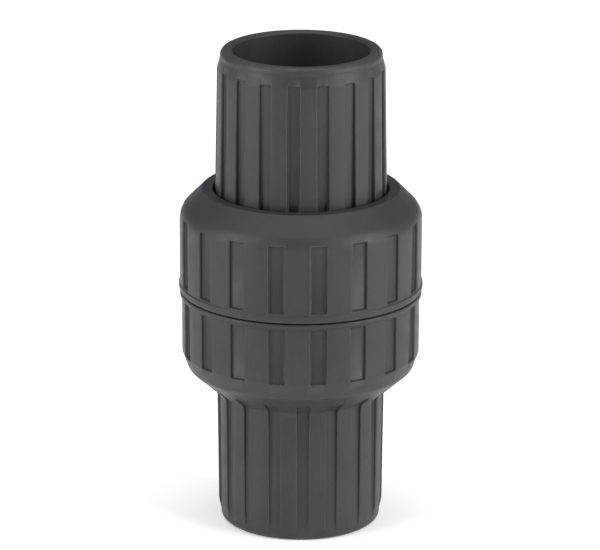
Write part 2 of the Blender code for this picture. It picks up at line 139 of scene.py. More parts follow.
# Sockets
MOUTH_R = 0.02515
SOCKET_ROOT_R = 0.02495
BORE_R = 0.0210
SOCKET_DEPTH = 0.031
LEAD_IN = 0.0008
STOP_CHAMFER = 0.0005
BAND_DRAFT = 0.00002
BAND_R = 0.0296
LOWER_RIB_R = 0.0305
UPPER_RIB_R = 0.0307
LOWER_ROOT_R = 0.0310
UPPER_ROOT_R = 0.0317
RIB_START = 0.003
RIB_FULL = 0.007
FLOOR_R = 0.0297
UPPER_GROOVE_START = 0.0061  # from the mouth
UPPER_FOOT_FADE = 0.0009    # length over which the grooves come to their depth
UPPER_TOP_FADE = 0.0008
RIB_COUNT = 18
SOCKET_GROOVE_WIDTH = 0.0042
SOCKET_GROOVE_DEPTH = 0.0010  # sets the slope of its walls
GRIP_GROOVE_WIDTH = 0.0058
GRIP_GROOVE_DEPTH = 0.0012
LAND_FOOT = 0.0012          # collar to the upper socket's grooves

# Body
HUB_LENGTH = 0.0502
CONE_HEIGHT = 0.0095
CONE_GROOVES = 0.0046       # the socket's grooves run this far up the cone
CONE_FADE = 0.0012          # and lose their depth over this length
BEVEL_HEIGHT = 0.0061
BEVEL_DEPTH = 0.0022
SKIRT_FADE = 0.0008         # length over which the skirt's grooves come to their depth
GROOVE_CLEAR = 0.0002       # between the grooves and a plain ring
RING_STEP = 0.0006
CORNER_CLEAR = 0.0001       # rows at the skirt's foot stay this far off its corner
SKIRT_R = 0.04395
SKIRT_FLOOR_R = 0.04275
SKIRT_RING_HEIGHT = 0.0021
CHAMBER_R = 0.0320
CAGE_SEAT_R = 0.0330
CAGE_HEIGHT = 0.0070
NECK_R = 0.0374
SEAT_TOP = 0.0580
SEAT_LIP = 0.0025
SEAT_WIDTH = 0.0026
SEAT_FLOOR = 0.0015

# Nut
NUT_RIB_R = 0.04465
NUT_FLOOR_R = 0.04345
NUT_RING_HEIGHT = 0.0030
NUT_SHOULDER = 0.0083
NUT_GROOVE_STOP = 0.0009    # under the shoulder's foot
NUT_FOOT_FADE = 0.0009
NUT_TOP_FADE = 0.0010
NUT_RING_STEP = 0.0003
NUT_CHORD = 0.0003          # longest step along the shoulder's arc
NUT_ROOF = 0.0101
NUT_HOLE_R = 0.0323

# Thread
PITCH = 0.004
THREAD_STEPS = 180          # points to a turn
THREAD_FADE = 0.12          # share of a turn over which each end sinks
CREST_R = 0.0389
THREAD_START = 0.0045
THREAD_TURNS = 4
CREST_WIDTH = 0.0013
FOOT_WIDTH = 0.0026
SINK = 0.0012
NUT_CREST_WIDTH = 0.0013
NUT_FOOT_WIDTH = 0.0022
NUT_THREAD_TURNS = THREAD_TURNS + 0.4
NUT_RELIEF = 0.25           # turns of thread root above the neck's thread
NUT_CHAMFER = 0.0008        # at both ends of the thread root

# Union end
COLLAR_HEIGHT = 0.0055
FLARE_R = 0.0279
FLARE_LENGTH = 0.0137
FACE_RING_R = 0.0349
RING_GROOVE_WIDTH = 0.0028
RING_GROOVE_DEPTH = 0.0024
O_RING_SIDES = 28

# Poppet, seal, retainer, screw and washer
STEM_R = 0.0045
BOSS_R = 0.0075
HEAD_HEIGHT = 0.0055
HEAD_EASE = 0.001           # chamfers of the head's foot and the stem's top
LIFT = 0.012
SEAL_BORE_R = 0.0140
SCREW_BORE_R = 0.0033
SCREW_R = 0.0030
SCREW_HOLE_DEPTH = 0.0080
SCREW_EASE = 0.0005         # chamfer round the screw's head
HEX_DRAFT = 0.98            # recess's floor over its mouth
FLANGE_THICKNESS = 0.0033
FLANGE_R = 0.0194
HEX_R = 0.0025
HEX_DEPTH = 0.0020
HEX_SLACK = 0.0001          # takes in the recess's rounded corners
HEX_SLACK_R = 0.00002
WING_INNER_R = 0.0095
WING_WIDTH = 0.0025
WING_INSET = 0.00004
WINGS = 4

# Cage and bush
CAGE_INNER_R = 0.0279
SPRING_SEAT_R = 0.0125
SPRING_SEAT_DROP = 0.008
SPRING_SEAT_THICKNESS = 0.003
BUSH_BORE_R = 0.0048
BUSH_R = 0.0058
BUSH_FLANGE = 0.0015
SPOKE_WIDTH = 0.0032
SPOKE_FLARE = 0.0022
SPOKE_SINK = 0.0012         # how far a spoke's ends lie in the hub
SPOKE_RING_SINK = 0.002     # and in the ring
SPOKES = 4

# Spring
WIRE_R = 0.0007
WIRE_SIDES = 16
SPRING_STEPS = 64           # points to a turn
CLOSED_PITCH = 1.15         # closed turns' pitch over the wire's thickness
GROUND_FLAT = 0.0003
ACTIVE_TURNS = 6

# Turns of the grooves' centres from the front
GRIP_TURN = math.radians(8.5)
LOWER_TURN = math.radians(1.8)
UPPER_TURN = math.radians(14.9)

PARTING_Z = NUT_FOOT - PARTING
CONE_TOP = BODY_FOOT + HUB_LENGTH + CONE_HEIGHT
SKIRT_FOOT = CONE_TOP + BEVEL_HEIGHT
THREAD_Z = PARTING_Z + THREAD_START


# Outlines


def unit(vector):
    return vector / np.linalg.norm(vector)


def rounded(corners, closed=True, step=math.radians(13), chord=0.0006):
    """The line through (across, up, fillet) corners with an arc at each one. An arc runs between
    the points that lie fillet / tan(half the corner's angle) from it. Where two arcs would meet
    on a short side, both shrink to fit. A support point follows each arc on the straights, so
    that the shading of the flats stays flat."""
    places = np.array([corner[:2] for corner in corners], float)
    fillets = np.array([corner[2] for corner in corners], float)
    ahead = np.roll(places, -1, 0) - places
    length = np.maximum(np.linalg.norm(ahead, axis=1), 1e-9)
    ahead /= length[:, None]
    back = -np.roll(ahead, 1, 0)
    half = np.arccos(np.clip((back * ahead).sum(1), -1, 1)) / 2
    run = fillets / np.tan(np.maximum(half, 0.01))
    if not closed:
        run[[0, -1]] = 0
    squeeze = np.minimum(1, 0.96 * length / np.maximum(run + np.roll(run, -1), 1e-9))
    run = run * np.minimum(squeeze, np.roll(squeeze, 1))
    spare = 0.4 * np.minimum(length - run - np.roll(run, -1), np.roll(length - run, 1) - run)
    support = run + np.minimum(0.15 * run, np.maximum(spare, 0))
    line = []
    for index, here in enumerate(places):
        if run[index] < 1e-7:
            line.append(here)
            continue
        out, into = ahead[index], back[index]
        radius = run[index] * math.tan(half[index])
        centre = here + unit(into + out) * radius / math.sin(half[index])
        turn = math.pi - 2 * half[index]
        parts = max(2, math.ceil(turn / step), math.ceil(turn * radius / chord))
        share = np.linspace(0, 1, parts + 1)[:, None]
        start, end = here + into * run[index] - centre, here + out * run[index] - centre
        arc = (np.sin((1 - share) * turn) * start + np.sin(share * turn) * end) / math.sin(turn)
        line.append(here + into * support[index])
        line.extend(centre + arc)
        line.append(here + out * support[index])
    return np.array(line)


def even_turns(count):
    """Columns evenly spaced round the axis, with no groove."""
    return np.arange(count) * math.tau / count, np.zeros(count)


def grooved_turns(first, radius, width, depth, edge=0.00045, fillet=0.0004, land_columns=4):
    """Columns for RIB_COUNT grooves: their turns, and each one's share of the groove's depth.
    Half a groove is a rounded line from its centre, across its floor, up a wall that leans by
    a quarter of the depth, and along the land to half way to the next groove."""
    half_pitch = math.pi * radius / RIB_COUNT
    lean = depth / 4
    line = rounded(
        [
            (0, depth, 0),
            (width / 2 - lean / 2, depth, fillet),
            (width / 2 + lean / 2, 0, edge),
            (half_pitch, 0, 0),
        ],
        closed=False, step=math.radians(20),
    )
    land = np.linspace(line[-2, 0], half_pitch, land_columns + 2)[1:-1]
    across = np.concatenate([line[:-1, 0], land])
    share = np.concatenate([line[:-1, 1] / depth, np.zeros(len(land))])
    across = np.concatenate([-across[:0:-1], across])
    share = np.concatenate([share[:0:-1], share])
    centres = first + np.arange(RIB_COUNT)[:, None] * math.tau / RIB_COUNT
    return (centres + across / radius).ravel(), np.tile(share, RIB_COUNT)


def soft_ramp(over, ease=0.00012):
    """Nothing below zero and the value itself above it, joined by a parabola over the ease."""
    return np.where(over > ease, over, np.clip(over + ease, 0, None) ** 2 / (4 * ease))


def smooth_step(value, start, end):
    """0 before start, 1 after end, and 3s^2 - 2s^3 between them."""
    share = np.clip((value - start) / (end - start), 0, 1)
    return share * share * (3 - 2 * share)


# Meshes


def grid_faces(rows, columns, close_rows, close_columns):
    """The four corners of each face of a grid, as one array. A closed direction wraps round."""
    row = np.arange(rows if close_rows else rows - 1)[:, None]
    column = np.arange(columns if close_columns else columns - 1)[None, :]
    next_row, next_column = (row + 1) % rows, (column + 1) % columns
    return np.stack(
        [
            row * columns + column,
            row * columns + next_column,
            next_row * columns + next_column,
            next_row * columns + column,
        ],
        axis=-1,
    ).reshape(-1, 4)


def bend(points, normals, axis):
    """How sharply the surface turns outwards along one direction of the grid: the step in minus
    the step out, each one long, measured along the normal. Hollows come out negative."""
    ahead = np.roll(points, -1, axis) - points
    ahead /= np.maximum(np.linalg.norm(ahead, axis=-1, keepdims=True), 1e-9)
    return ((np.roll(ahead, 1, axis) - ahead) * normals).sum(-1)


def edge_of(points):
    """For each point of a grid that closes both ways, how much of an outer edge it lies on."""
    down = np.roll(points, -1, 0) - np.roll(points, 1, 0)
    along = np.roll(points, -1, 1) - np.roll(points, 1, 1)
    normals = np.cross(along, down)
    normals /= np.maximum(np.linalg.norm(normals, axis=-1, keepdims=True), 1e-12)
    return bend(points, normals, 0) + bend(points, normals, 1)


def mesh_object(name, points, faces, edge=None):
    """A smooth object from points and four-cornered or three-cornered faces, turned outwards:
    the volume, which is the sum of each corner triple's determinant, has to be positive."""
    triples = np.concatenate([part[:, :3] for part in faces] + [
        part[:, [0, 2, 3]] for part in faces if part.shape[1] == 4
    ])
    flip = np.linalg.det(points[triples]).sum() < 0
    mesh = bpy.data.meshes.new(name)
    listed = [row for part in faces for row in (part[:, ::-1] if flip else part).tolist()]
    mesh.from_pydata(points.tolist(), [], listed)
    if edge is not None:
        attribute = mesh.attributes.new("edge", "FLOAT", "POINT")
        attribute.data.foreach_set("value", (-edge if flip else edge).astype(np.float32))
    mesh.shade_smooth()
    mesh.set_sharp_from_angle(angle=math.radians(40))
    obj = bpy.data.objects.new(name, mesh)
    bpy.context.scene.collection.objects.link(obj)
    return obj


def turned(name, outline, columns, dent=None):
    """An outline carried round the axis: x = radius sin(turn), y = -radius cos(turn). Columns is
    a count, or the turns with their shares of a groove's depth, and dent gives the depth there
    for each radius and height. The outline closes on itself, or runs from axis to axis."""
    turns, share = even_turns(columns) if isinstance(columns, int) else columns
    radius, height = outline[:, :1], outline[:, 1:]
    depth = dent(radius, height) if dent else 0 * radius
    out = radius - share * depth
    points = np.stack([out * np.sin(turns), -out * np.cos(turns), height + 0 * out], axis=-1)
    rows, count = out.shape
    if outline[0, 0] > 0:
        return mesh_object(
            name, points.reshape(-1, 3), [grid_faces(rows, count, True, True)],
            edge_of(points).ravel(),
        )
    inner = points[1:-1]
    poles = np.array([points[0, 0], points[-1, 0]])
    first, last = (rows - 2) * count, (rows - 2) * count + 1
    column = np.arange(count)
    after = (column + 1) % count
    top_row = (rows - 3) * count
    fans = np.concatenate([
        np.stack([np.full(count, first), after, column], axis=-1),
        np.stack([np.full(count, last), top_row + column, top_row + after], axis=-1),
    ])
    bends = np.concatenate([edge_of(points)[1:-1].ravel(), [0, 0]])
    return mesh_object(
        name, np.concatenate([inner.reshape(-1, 3), poles]),
        [grid_faces(rows - 2, count, False, True), fans], bends,
    )


def coiled(name, section, turns, rise, steps, fade=0.0, sunk_r=0.0, limits=None):
    """A closed section of (radius, height) points carried round a helix from the +X side, so that
    height = rise(turns made) + the section's own. Over the fade, in turns, each end sinks to
    sunk_r. Limits cut the heights off flat, as on a ground spring."""
    made = np.linspace(0, turns, round(turns * steps) + 1)
    angle = made * math.tau
    radius = np.broadcast_to(section[:, 0], (len(made), len(section))).copy()
    if fade:
        swell = smooth_step(np.minimum(made, turns - made), 0, fade)[:, None]
        radius = sunk_r + (radius - sunk_r) * swell if sunk_r else radius
    height = rise(made)[:, None] + section[:, 1]
    if limits:
        height = np.clip(height, *limits)
    points = np.stack(
        [radius * np.cos(angle)[:, None], radius * np.sin(angle)[:, None], height], axis=-1,
    )
    rows, count = radius.shape
    column = np.arange(count)
    after = (column + 1) % count
    middles = np.array([points[0].mean(0), points[-1].mean(0)])
    first, last = rows * count, rows * count + 1
    base = (rows - 1) * count
    caps = np.concatenate([
        np.stack([np.full(count, first), after, column], axis=-1),
        np.stack([np.full(count, last), base + column, base + after], axis=-1),
    ])
    bends = np.concatenate([edge_of(points).ravel(), [0, 0]])
    return mesh_object(
        name, np.concatenate([points.reshape(-1, 3), middles]),
        [grid_faces(rows, count, False, True), caps], bends,
    )


def radial_bar(name, turn, inner, outer, width, low, high, fillet, flare=0.0):
    """A rounded oblong section carried out along a radius. Near each end it widens by the flare,
    as 1 minus the square root of 1 minus the square of how far into the flare it is."""
    section = rounded(
        [
            (-width / 2, low, fillet), (width / 2, low, fillet),
            (width / 2, high, fillet), (-width / 2, high, fillet),
        ],
        step=math.radians(20),
    )
    along = np.linspace(inner, outer, 40)
    near_end = np.minimum(along - inner, outer - along)
    into = np.clip(1 - near_end / flare, 0, 1) if flare else np.zeros(len(along))
    widening = 1 + 2 * flare * (1 - np.sqrt(1 - into ** 2)) / width
    side = section[:, 0] * widening[:, None]
    out = np.broadcast_to(along[:, None], side.shape)
    points = np.stack(
        [
            out * math.sin(turn) + side * math.cos(turn),
            -out * math.cos(turn) + side * math.sin(turn),
            np.broadcast_to(section[:, 1], side.shape),
        ],
        axis=-1,
    )
    rows, count = side.shape
    column = np.arange(count)
    after = (column + 1) % count
    middles = np.array([points[0].mean(0), points[-1].mean(0)])
    base = (rows - 1) * count
    caps = np.concatenate([
        np.stack([np.full(count, rows * count), after, column], axis=-1),
        np.stack([np.full(count, rows * count + 1), base + column, base + after], axis=-1),
    ])
    return mesh_object(
        name, np.concatenate([points.reshape(-1, 3), middles]),
        [grid_faces(rows, count, False, True), caps],
    )


def joined(obj, others):
    """One closed body from overlapping ones."""
    for other in others:
        union = obj.modifiers.new(other.name, "BOOLEAN")
        union.operation = "UNION"
        union.object = other
    graph = bpy.context.evaluated_depsgraph_get()
    mesh = bpy.data.meshes.new_from_object(obj.evaluated_get(graph))
    obj.modifiers.clear()
    obj.data = mesh
    mesh.shade_smooth()
    mesh.set_sharp_from_angle(angle=math.radians(40))
    for other in others:
        bpy.data.objects.remove(other)
    return obj


# Materials


def new_material(name):
    """A material with its shader and its Object coordinates."""
    made = bpy.data.materials.new(name)
    made.use_nodes = True
    tree = made.node_tree
    where = tree.nodes.new("ShaderNodeTexCoord").outputs["Object"]
    return made, tree, tree.nodes["Principled BSDF"], where


def noise(tree, where, scale, detail=3.0, stretch=(1, 1, 1), roughness=0.5):
    """Noise with this many features a metre along each direction of the stretch."""
    mapping = tree.nodes.new("ShaderNodeMapping")
    mapping.inputs["Scale"].default_value = [scale * part for part in stretch]
    tree.links.new(where, mapping.inputs["Vector"])
    node = tree.nodes.new("ShaderNodeTexNoise")
    node.inputs["Scale"].default_value = 1
    node.inputs["Detail"].default_value = detail
    node.inputs["Roughness"].default_value = roughness
    tree.links.new(mapping.outputs["Vector"], node.inputs["Vector"])
    return node.outputs["Fac"]


def ramped(tree, value, low, high, out_low, out_high):
    """The value between low and high carried to between out_low and out_high."""
    node = tree.nodes.new("ShaderNodeMapRange")
    for key, number in (
        ("From Min", low), ("From Max", high), ("To Min", out_low), ("To Max", out_high),
    ):
        node.inputs[key].default_value = number
    tree.links.new(value, node.inputs["Value"])
    return node.outputs["Result"]


def combined(tree, operation, first, second):
    node = tree.nodes.new("ShaderNodeMath")
    node.operation = operation
    node.use_clamp = operation == "MULTIPLY"
    for socket, value in zip(node.inputs, (first, second)):
        if isinstance(value, (int, float)):
            socket.default_value = value
        else:
            tree.links.new(value, socket)
    return node.outputs[0]


def blended(tree, share, first, second):
    """One colour carried to another by the share. Each is a colour or a socket."""
    node = tree.nodes.new("ShaderNodeMix")
    node.data_type = "RGBA"
    tree.links.new(share, node.inputs["Factor"])
    for key, colour in (("A", first), ("B", second)):
        socket = [s for s in node.inputs if s.name == key and s.type == "RGBA"][0]
        if isinstance(colour, tuple):
            socket.default_value = (*colour, 1)
        else:
            tree.links.new(colour, socket)
    return [s for s in node.outputs if s.type == "RGBA"][0]


def bumped(tree, shader, layers):
    """Bumps on top of each other: (height, distance in metres) layers."""
    normal = None
    for height, distance in layers:
        bump = tree.nodes.new("ShaderNodeBump")
        bump.inputs["Distance"].default_value = distance
        bump.inputs["Strength"].default_value = 1
        tree.links.new(height, bump.inputs["Height"])
        if normal:
            tree.links.new(normal, bump.inputs["Normal"])
        normal = bump.outputs["Normal"]
    tree.links.new(normal, shader.inputs["Normal"])


def moulded_pvc(name, colour, shade, pale_and_highlight, roughness):
    """Moulded PVC: clouded pigment with fine specks, faint flow lines along the axis, an orange
    peel skin, and outer edges painted paler, partly as wear where hands and benches touch them and
    partly as a painted highlight along the ribs' rounded edges."""
    made, tree, shader, where = new_material(name)
    clouds = ramped(tree, noise(tree, where, 60, 4), 0.35, 0.65, 0, 1)
    specks = ramped(tree, noise(tree, where, 2600, 2), 0.62, 0.75, 0, 1)
    flow = noise(tree, where, 500, 3, (1, 1, 0.06))
    peel = noise(tree, where, 1500, 2)
    grain = noise(tree, where, 5200, 2)
    edge = tree.nodes.new("ShaderNodeAttribute")
    edge.attribute_name = "edge"
    # painted highlight and wear: outer edges get a paler colour, partly rubbed wear and partly
    # standing in for the light that rounded edges catch; the same mask also makes them a little
    # rougher
    edge_wear_and_highlight = combined(
        tree, "MULTIPLY",
        ramped(tree, edge.outputs["Fac"], 0.08, 0.45, 0, 1),
        ramped(tree, noise(tree, where, 260, 4), 0.38, 0.66, 0.1, 1),
    )
    base = blended(tree, clouds, shade, colour)
    base = blended(tree, combined(tree, "MULTIPLY", specks, 0.35), base, pale_and_highlight)
    # outer edges take the pale colour: partly wear, partly a painted highlight
    base = blended(tree, combined(tree, "MULTIPLY", edge_wear_and_highlight, 0.45), base, pale_and_highlight)
    tree.links.new(base, shader.inputs["Base Color"])
    gloss = ramped(tree, noise(tree, where, 180, 3), 0.3, 0.7, roughness - 0.05, roughness + 0.06)
    gloss = combined(tree, "ADD", gloss, combined(tree, "MULTIPLY", edge_wear_and_highlight, 0.08))
    tree.links.new(gloss, shader.inputs["Roughness"])
    shader.inputs["IOR"].default_value = 1.53
    shader.inputs["Specular IOR Level"].default_value = 0.28
    bumped(tree, shader, [(flow, 0.00003), (peel, 0.00004), (grain, 0.000008)])
    return made


def epdm(name):
    """Black EPDM: fine moulding grain, a grey bloom in patches, and a low sheen."""
    made, tree, shader, where = new_material(name)
    bloom = ramped(tree, noise(tree, where, 220, 4), 0.45, 0.7, 0, 1)
    base = blended(tree, bloom, (0.011, 0.011, 0.012), (0.026, 0.026, 0.027))
    tree.links.new(base, shader.inputs["Base Color"])
    tree.links.new(ramped(tree, bloom, 0, 1, 0.55, 0.72), shader.inputs["Roughness"])
    bumped(tree, shader, [(noise(tree, where, 3000, 3), 0.00002)])
    return made


def ptfe(name):
    """White PTFE: a waxy skin with light turning marks round the axis."""
    made, tree, shader, where = new_material(name)
    marks = noise(tree, where, 300, 2, (1, 1, 18))
    base = blended(tree, noise(tree, where, 150, 3), (0.70, 0.70, 0.67), (0.80, 0.80, 0.78))
    tree.links.new(base, shader.inputs["Base Color"])
    tree.links.new(ramped(tree, marks, 0.3, 0.7, 0.3, 0.42), shader.inputs["Roughness"])
    shader.inputs["Subsurface Weight"].default_value = 0.15
    shader.inputs["Subsurface Scale"].default_value = 0.001
    bumped(tree, shader, [(marks, 0.00001)])
    return made


def stainless(name):
    """Drawn stainless steel: fine streaks, a soft warm cast and a few dull patches."""
    made, tree, shader, where = new_material(name)
    streaks = noise(tree, where, 4000, 3, (1, 1, 0.12))
    dull = ramped(tree, noise(tree, where, 350, 3), 0.5, 0.75, 0, 1)
    base = blended(tree, streaks, (0.50, 0.49, 0.47), (0.66, 0.65, 0.63))
    tree.links.new(base, shader.inputs["Base Color"])
    shader.inputs["Metallic"].default_value = 1
    rough = combined(tree, "ADD", ramped(tree, streaks, 0.3, 0.7, 0.2, 0.32),
                     combined(tree, "MULTIPLY", dull, 0.1))
    tree.links.new(rough, shader.inputs["Roughness"])
    bumped(tree, shader, [(streaks, 0.000006)])
    return made


# Pieces


def finish_piece(obj, body, nodes, material):
    obj.data.materials.clear()
    obj.data.materials.append(material)
    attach(obj, body)
    if nodes:
        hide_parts(*nodes)
    return obj


def rows_between(radius, start, end, count):
    """Corners with no fillet, evenly spaced up a straight side. The radius is one number, or
    gives the side's radius at a height."""
    return [
        (radius(height) if callable(radius) else radius, height, 0)
        for height in np.linspace(start, end, count)
    ]


def socket_outside(mouth, way, rib_r):
    """The plain band at a socket's mouth and the rise to its ribs, from the mouth. Way is 1 where
    the heights run up from the mouth and -1 where they run down."""
    return [
        (BAND_R, mouth, MOUTH_FILLET),
        (BAND_R + BAND_DRAFT, mouth + way * RIB_START, RIB_START_FILLET),
        (rib_r, mouth + way * RIB_FULL, RIB_FULL_FILLET),
    ]


def socket_inside(mouth, way):
    """A socket's bore, from the waterway to the mouth."""
    return [
        (BORE_R, mouth + way * (SOCKET_DEPTH + STOP_CHAMFER), CRISP),
        (BORE_R + STOP_CHAMFER, mouth + way * SOCKET_DEPTH, CRISP),
        (SOCKET_ROOT_R, mouth + way * SOCKET_DEPTH, EASED),
        (MOUTH_R, mouth + way * LEAD_IN, MILD),
        (MOUTH_R + LEAD_IN, mouth, CRISP),
    ]


def ribbed_body(material):
    """The lower socket's ribs stand between grooves cut to FLOOR_R, which keep their depth up the
    foot of the cone. The skirt's stand between grooves cut to SKIRT_FLOOR_R, from its foot to its
    plain top ring. Between the two, the columns turn from the one pattern to the other."""
    hub = BODY_FOOT + HUB_LENGTH
    cone_top_r = SKIRT_R - BEVEL_DEPTH
    ring_foot = PARTING_Z - SKIRT_RING_HEIGHT
    lip_foot = SEAT_TOP - SEAT_LIP
    floor_r = BORE_R + SEAT_WIDTH + SEAT_FLOOR
    cage_ledge = NECK_TOP - CAGE_HEIGHT - GAP
    low_end = hub + CONE_GROOVES
    high_start, high_end = SKIRT_FOOT - SKIRT_FADE / 2, ring_foot - GROOVE_CLEAR

    def cone_r(height):
        return LOWER_ROOT_R + (height - hub) * (cone_top_r - LOWER_ROOT_R) / CONE_HEIGHT

    def bevel_r(height):
        return SKIRT_R - (SKIRT_FOOT - height) * BEVEL_DEPTH / BEVEL_HEIGHT

    outline = rounded([
        *socket_outside(BODY_FOOT, 1, LOWER_RIB_R),
        (LOWER_ROOT_R, hub, CONE_FILLET),
        *rows_between(cone_r, low_end - CONE_FADE, low_end, 6),
        (cone_top_r, CONE_TOP, CONE_FILLET),
        *rows_between(bevel_r, high_start, SKIRT_FOOT - CORNER_CLEAR, 3),
        *rows_between(SKIRT_R, SKIRT_FOOT + CORNER_CLEAR, high_start + SKIRT_FADE, 3),
        *rows_between(SKIRT_R, high_end - SKIRT_FADE, high_end, 5),
        (SKIRT_R, ring_foot, CRISP),
        (SKIRT_RING_R, ring_foot + RING_STEP, EASED),
        (SKIRT_RING_R, PARTING_Z, SOFT),
        (NECK_R, PARTING_Z, MILD),
        (NECK_R, NECK_TOP, SOFT),
        (CAGE_SEAT_R, NECK_TOP, CRISP),
        (CAGE_SEAT_R, cage_ledge, FINE),
        (CHAMBER_R, cage_ledge, CRISP),
        (CHAMBER_R, lip_foot + CHAMBER_R - floor_r, CHAMBER_FILLET),
        (floor_r, lip_foot, FULL),
        (BORE_R + SEAT_WIDTH, lip_foot, SOFT),
        (BORE_R + SEAT_WIDTH / 2, SEAT_TOP, PLUMP),
        (BORE_R, SEAT_TOP - SEAT_WIDTH / 2, EASED),
        *socket_inside(BODY_FOOT, 1),
    ])
    low_turns, share = grooved_turns(
        LOWER_TURN, LOWER_RIB_R, SOCKET_GROOVE_WIDTH, SOCKET_GROOVE_DEPTH,
    )
    high_turns, _ = grooved_turns(GRIP_TURN, SKIRT_R, GRIP_GROOVE_WIDTH, GRIP_GROOVE_DEPTH)
    climb = smooth_step(outline[:, 1:], low_end, high_start)

    def dent(radius, height):
        low = np.minimum(soft_ramp(radius - FLOOR_R), LOWER_ROOT_R - FLOOR_R)
        low = low * (1 - smooth_step(height, low_end - CONE_FADE, low_end))
        high = soft_ramp(radius - SKIRT_FLOOR_R)
        high = high * smooth_step(height, high_start, high_start + SKIRT_FADE)
        return low + high * (1 - smooth_step(height, high_end - SKIRT_FADE, high_end))

    turns = low_turns + climb * (high_turns - low_turns)
    obj = turned("ribbed_body", outline, (turns, share), dent)
    finish_piece(obj, "valve_body", ["valve_body"], material)


def thread_section(foot_r, crest_r, foot_width, crest_width, round_off=CRISP):
    """A rounded trapezoid, (radius, height), with its foot inside the wall it stands on."""
    return rounded(
        [
            (foot_r, -foot_width / 2, 0), (crest_r, -crest_width / 2, round_off),
            (crest_r, crest_width / 2, round_off), (foot_r, foot_width / 2, 0),
        ],
        step=math.radians(22),
    )


def neck_thread(material):
    """The body's outside thread: height = THREAD_Z + PITCH for each turn, ends sunk in the neck."""
    obj = coiled(
        "neck_thread", thread_section(NECK_R - SINK, CREST_R, FOOT_WIDTH, CREST_WIDTH),
        THREAD_TURNS, lambda made: THREAD_Z + made * PITCH, THREAD_STEPS, THREAD_FADE,
        NECK_R - SINK,
    )
    finish_piece(obj, "valve_body", [], material)


def ribbed_nut(material):
    """Grooves cut to NUT_FLOOR_R run from over the plain ring at the foot to just under the
    sloping shoulder. The bore is cut to the thread's root, and nut_thread stands in it."""
    ring_top = NUT_FOOT + NUT_RING_HEIGHT
    roof_z = NUT_TOP - NUT_ROOF
    root_r = CREST_R + THREAD_PLAY
    bore_r = NECK_R + THREAD_PLAY
    thread_top = THREAD_Z + (THREAD_TURNS + NUT_RELIEF) * PITCH
    start, stop = ring_top + GROOVE_CLEAR, NUT_TOP - NUT_SHOULDER - NUT_GROOVE_STOP
    outline = rounded([
        (NUT_RING_R, NUT_FOOT, ROUND),
        (NUT_RING_R, ring_top - NUT_RING_STEP, CRISP),
        (NUT_RIB_R, ring_top, FINE),
        *rows_between(NUT_RIB_R, start, start + NUT_FOOT_FADE, 5),
        (NUT_RIB_R, NUT_TOP - NUT_SHOULDER, NUT_SHOULDER_FILLET),
        (NUT_RIB_R - NUT_SHOULDER, NUT_TOP, PLUMP),
        (NUT_HOLE_R, NUT_TOP, MILD),
        (NUT_HOLE_R, roof_z, EASED),
        (bore_r, roof_z, EASED),
        (bore_r, thread_top, EASED),
        (root_r, thread_top - NUT_CHAMFER, EASED),
        (root_r, NUT_FOOT + NUT_CHAMFER, EASED),
        (root_r + NUT_CHAMFER, NUT_FOOT, EASED),
    ], chord=NUT_CHORD)

    def dent(radius, height):
        over_ring = smooth_step(height, start, start + NUT_FOOT_FADE)
        under_shoulder = 1 - smooth_step(height, stop - NUT_TOP_FADE, stop)
        return soft_ramp(radius - NUT_FLOOR_R) * over_ring * under_shoulder

    turns = grooved_turns(GRIP_TURN, NUT_RIB_R, GRIP_GROOVE_WIDTH, GRIP_GROOVE_DEPTH)
    obj = turned("ribbed_nut", outline, turns, dent)
    finish_piece(obj, "union_nut", ["union_nut"], material)


def nut_thread(material):
    """The nut's inside thread, half a pitch above the neck's, so that the two are in mesh."""
    bore_r = NECK_R + THREAD_PLAY
    root_r = CREST_R + THREAD_PLAY
    start = THREAD_Z - PITCH / 2
    obj = coiled(
        "nut_thread",
        thread_section(root_r + SINK / 2, bore_r, NUT_FOOT_WIDTH, NUT_CREST_WIDTH),
        NUT_THREAD_TURNS, lambda made: start + made * PITCH, THREAD_STEPS, THREAD_FADE,
        root_r + SINK / 2,
    )
    finish_piece(obj, "union_nut", [], material)


def ribbed_end(material):
    """Ribs stand between grooves cut to FLOOR_R that stop over the collar. The collar's foot has
    the O-ring's groove, and the waterway flares to the cage's bore."""
    collar_top = END_FOOT + COLLAR_HEIGHT
    groove_top = END_FOOT + RING_GROOVE_DEPTH
    rib_foot = collar_top + LAND_FOOT
    rib_top = END_TOP - UPPER_GROOVE_START
    half = RING_GROOVE_WIDTH / 2
    outline = rounded([
        (FLARE_R, END_FOOT, CRISP),
        (FACE_RING_R - half, END_FOOT, FINE),
        (FACE_RING_R - half, groove_top, CRISP),
        (FACE_RING_R + half, groove_top, CRISP),
        (FACE_RING_R + half, END_FOOT, FINE),
        (END_COLLAR_R, END_FOOT, EASED),
        (END_COLLAR_R, collar_top, SOFT),
        (UPPER_ROOT_R, collar_top, MILD),
        *rows_between(UPPER_ROOT_R, rib_foot, rib_foot + UPPER_FOOT_FADE, 4),
        *reversed(socket_outside(END_TOP, -1, UPPER_RIB_R)),
        *reversed(socket_inside(END_TOP, -1)),
        (BORE_R, END_FOOT + FLARE_LENGTH, FLARE_FILLET),
    ])

    def dent(radius, height):
        over_collar = smooth_step(height, rib_foot, rib_foot + UPPER_FOOT_FADE)
        under_band = 1 - smooth_step(height, rib_top - UPPER_TOP_FADE, rib_top)
        return soft_ramp(radius - FLOOR_R) * over_collar * under_band

    turns = grooved_turns(UPPER_TURN, UPPER_RIB_R, SOCKET_GROOVE_WIDTH, SOCKET_GROOVE_DEPTH)
    obj = turned("ribbed_end", outline, turns, dent)
    finish_piece(obj, "union_end", ["union_end"], material)


